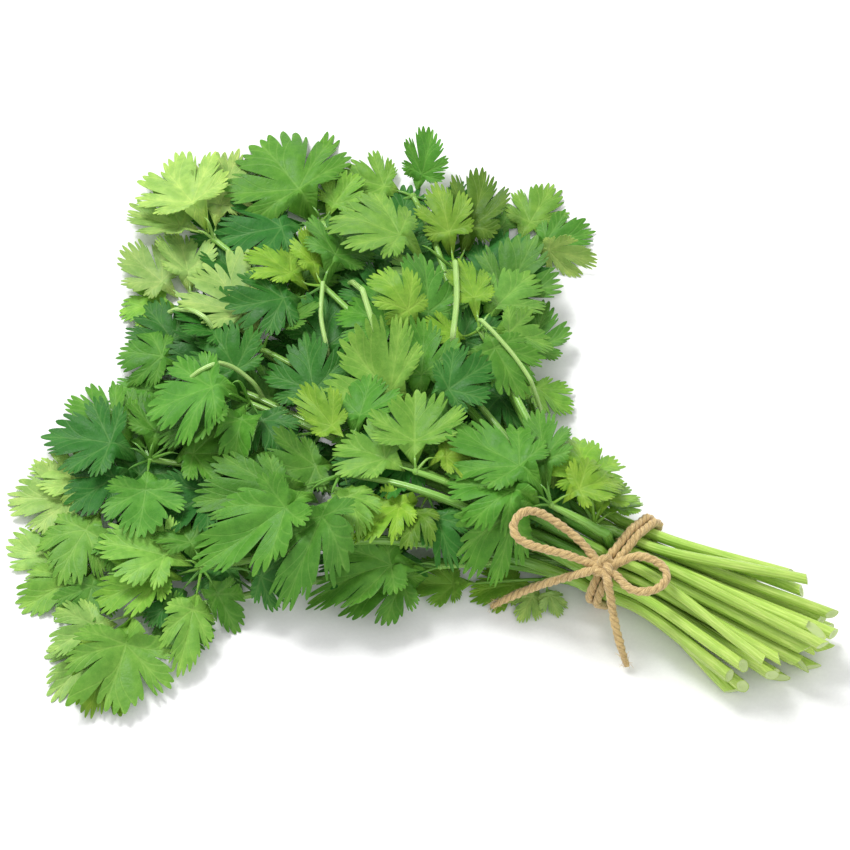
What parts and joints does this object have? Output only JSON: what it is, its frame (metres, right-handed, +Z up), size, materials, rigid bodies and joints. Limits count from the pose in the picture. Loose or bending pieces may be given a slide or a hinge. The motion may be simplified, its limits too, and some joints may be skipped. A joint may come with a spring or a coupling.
{
  "type": "coriander bunch",
  "caption": "Bunch of fresh coriander lying on its side: leafy stalks gathered in a fan and tied near their cut ends with a twine bow.",
  "frame": {"origin": "middle of the bottom of the box round the bunch, without the twine bow's free strands, on the table", "axes": "+X towards the cut ends, +Z up from the table, +Y to the left of +X"},
  "size_m": [0.2722, 0.2208, 0.039],
  "materials": {
    "leaf": "fresh green leaf, slightly waxy",
    "stem": "fresh pale green stalk, moist sheen",
    "twine": "rough natural jute twine"
  },
  "bodies": {
    "root": {"leaf_01": "leaf", "leaf_02": "leaf", "leaf_03": "leaf", "leaf_04": "leaf", "leaf_05": "leaf", "leaf_06": "leaf", "leaf_07": "leaf", "leaf_08": "leaf", "leaf_09": "leaf", "leaf_10": "leaf", "leaf_11": "leaf", "leaf_12": "leaf", "leaf_13": "leaf", "leaf_14": "leaf", "leaf_15": "leaf", "leaf_16": "leaf", "leaf_17": "leaf", "leaf_18": "leaf", "leaf_19": "leaf", "leaf_20": "leaf", "leaf_21": "leaf", "leaf_22": "leaf", "leaf_23": "leaf", "leaf_24": "leaf", "leaf_25": "leaf", "leaf_26": "leaf", "leaf_27": "leaf", "stem_01": "stem", "stem_02": "stem", "stem_03": "stem", "stem_04": "stem", "stem_05": "stem", "stem_06": "stem", "stem_07": "stem", "stem_08": "stem", "stem_09": "stem", "stem_10": "stem", "stem_11": "stem", "stem_12": "stem", "stem_13": "stem", "stem_14": "stem", "stem_15": "stem", "stem_16": "stem", "stem_17": "stem", "stem_18": "stem", "stem_19": "stem", "stem_20": "stem", "stem_21": "stem", "stem_22": "stem", "stem_23": "stem", "stem_24": "stem", "stem_25": "stem", "stem_26": "stem", "stem_27": "stem", "twine_band": "twine", "twine_knot": "twine", "twine_loop_left": "twine", "twine_loop_right": "twine", "twine_tail_left": "twine", "twine_tail_right": "twine"}
  },
  "joints": []
}
